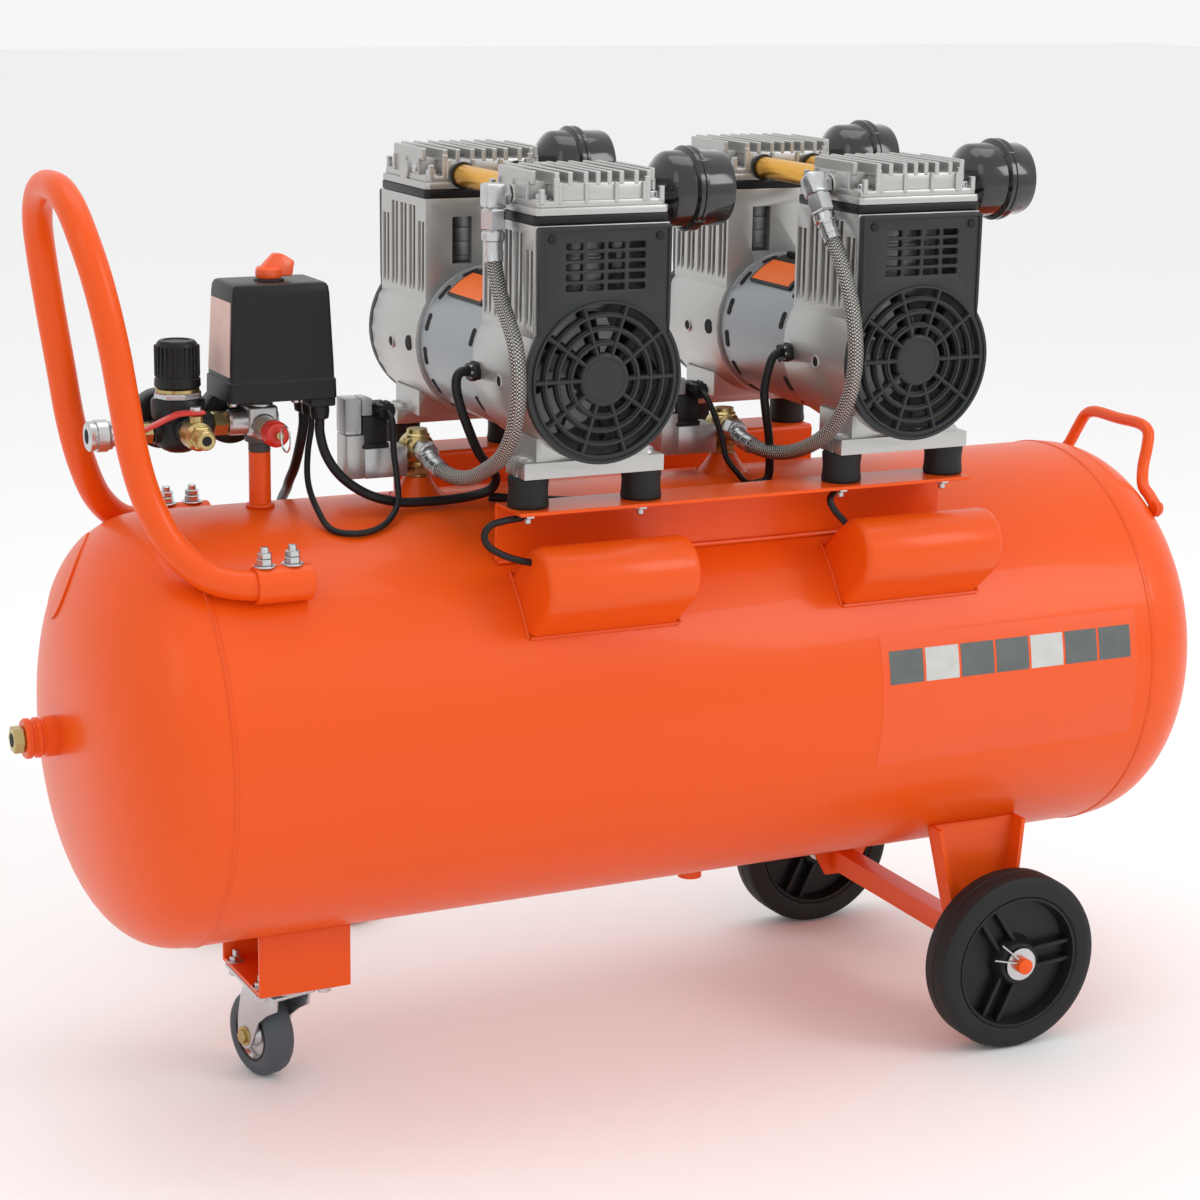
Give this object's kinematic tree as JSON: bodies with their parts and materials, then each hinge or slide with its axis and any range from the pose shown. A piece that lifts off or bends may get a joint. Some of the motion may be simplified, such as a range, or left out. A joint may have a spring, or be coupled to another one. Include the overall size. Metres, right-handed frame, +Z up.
{
  "type": "twin stack compressor",
  "caption": "Horizontal air receiver on two wheels and a caster, with two double-ended oil-free pumps on rubber feet, pressure switch, regulator and hoses.",
  "frame": {"origin": "on the floor under the middle of the machine, cord left out", "axes": "+X along the receiver towards the fixed wheels, +Y away from the operator, +Z up"},
  "size_m": [1.0794, 0.6498, 0.8043],
  "materials": {
    "orange_paint": "gloss orange enamel",
    "cast_aluminium": "satin as-cast",
    "zinc": "zinc plated",
    "steel_braid": "braided stainless",
    "brass": "satin",
    "anodised_tube": "gold anodised",
    "shell_paint": "metallic grey-blue paint",
    "rotor_steel": "dark",
    "dark_plastic": "satin charcoal",
    "black_plastic": "semi-gloss black",
    "cable_sheath": "black sheath",
    "wheel_rubber": "black rubber tyre on a black hub",
    "caster_rubber": "grey rubber tread",
    "red_plastic": "red-orange"
  },
  "bodies": {
    "machine": {"receiver": "orange_paint", "carry_handle": "orange_paint", "end_handle": "orange_paint", "axle_frame": "orange_paint", "caster_bracket": "orange_paint", "rail_front": "orange_paint", "rail_rear": "orange_paint", "capacitor_cover_left": "orange_paint", "capacitor_cover_right": "orange_paint", "end_plug": "brass", "check_valve_left": "brass", "check_valve_right": "brass", "outlet_valve": "brass", "caster_plate": "zinc", "manifold": "zinc", "side_outlet": "zinc", "unloader_left": "zinc", "unloader_right": "zinc", "hose_left": "steel_braid", "hose_right": "steel_braid", "pressure_switch": "black_plastic", "regulator_body": "black_plastic", "regulator_gauge": "black_plastic", "manifold_gauge": "black_plastic", "safety_valve": "red_plastic", "mains_coil": "cable_sheath", "motor_cable": "cable_sheath", "mains_cord": "cable_sheath", "mains_plug": "cable_sheath", "crankcase_left_front": "cast_aluminium", "cylinder_head_left_front": "cast_aluminium", "fan_cover_left_front": "dark_plastic", "air_filter_left_front": "black_plastic", "crankcase_left_rear": "cast_aluminium", "cylinder_head_left_rear": "cast_aluminium", "fan_cover_left_rear": "dark_plastic", "air_filter_left_rear": "black_plastic", "motor_shell_left": "shell_paint", "crossover_tube_left": "anodised_tube", "crankcase_right_front": "cast_aluminium", "cylinder_head_right_front": "cast_aluminium", "fan_cover_right_front": "dark_plastic", "air_filter_right_front": "black_plastic", "crankcase_right_rear": "cast_aluminium", "cylinder_head_right_rear": "cast_aluminium", "fan_cover_right_rear": "dark_plastic", "air_filter_right_rear": "black_plastic", "motor_shell_right": "shell_paint", "crossover_tube_right": "anodised_tube"},
    "wheel_front": {"wheel_front": "wheel_rubber"},
    "wheel_rear": {"wheel_rear": "wheel_rubber"},
    "caster_fork": {"caster_fork": "zinc"},
    "caster_wheel": {"caster_wheel": "caster_rubber"},
    "rotor_left": {"rotor_left": "rotor_steel"},
    "rotor_right": {"rotor_right": "rotor_steel"},
    "switch_knob": {"switch_knob": "red_plastic"},
    "regulator_knob": {"regulator_knob": "black_plastic"},
    "outlet_lever": {"outlet_lever": "red_plastic"},
    "side_lever": {"side_lever": "red_plastic"},
    "safety_ring": {"safety_ring": "zinc"}
  },
  "joints": [
    {"name": "wheel_front_spin", "type": "hinge", "parent": "machine", "child": "wheel_front", "pos_m": [0.31145, -0.1775, 0.081], "axis": [0, 1, 0], "continuous": true},
    {"name": "wheel_rear_spin", "type": "hinge", "parent": "machine", "child": "wheel_rear", "pos_m": [0.31145, 0.1775, 0.081], "axis": [0, 1, 0], "continuous": true},
    {"name": "caster_swivel", "type": "hinge", "parent": "machine", "child": "caster_fork", "pos_m": [-0.31625, 0, 0.0896], "axis": [0, 0, 1], "continuous": true},
    {"name": "caster_wheel_spin", "type": "hinge", "parent": "caster_fork", "child": "caster_wheel", "pos_m": [-0.323, 0.02923, 0.0375], "axis": [0.9744, 0.225, 0], "continuous": true},
    {"name": "rotor_left_spin", "type": "hinge", "parent": "machine", "child": "rotor_left", "pos_m": [-0.09825, 0, 0.6272], "axis": [0, 1, 0], "continuous": true},
    {"name": "rotor_right_spin", "type": "hinge", "parent": "machine", "child": "rotor_right", "pos_m": [0.19295, 0, 0.6272], "axis": [0, 1, 0], "continuous": true},
    {"name": "switch_knob_pull", "type": "slide", "parent": "machine", "child": "switch_knob", "axis": [0, 0, 1], "range_m": [0, 0.006]},
    {"name": "regulator_knob_turn", "type": "hinge", "parent": "machine", "child": "regulator_knob", "pos_m": [-0.39575, 0, 0.6296], "axis": [0, 0, 1], "range_deg": [-540, 540]},
    {"name": "outlet_lever_turn", "type": "hinge", "parent": "machine", "child": "outlet_lever", "pos_m": [-0.39575, -0.047, 0.5996], "axis": [0, 0, 1], "range_deg": [0, 90]},
    {"name": "side_lever_turn", "type": "hinge", "parent": "machine", "child": "side_lever", "pos_m": [-0.43425, -0.019, 0.5771], "axis": [0, 1, 0], "range_deg": [0, 90]},
    {"name": "safety_ring_pull", "type": "slide", "parent": "machine", "child": "safety_ring", "axis": [0, -1, 0], "range_m": [0, 0.003], "stiffness_N_per_m": 800}
  ]
}
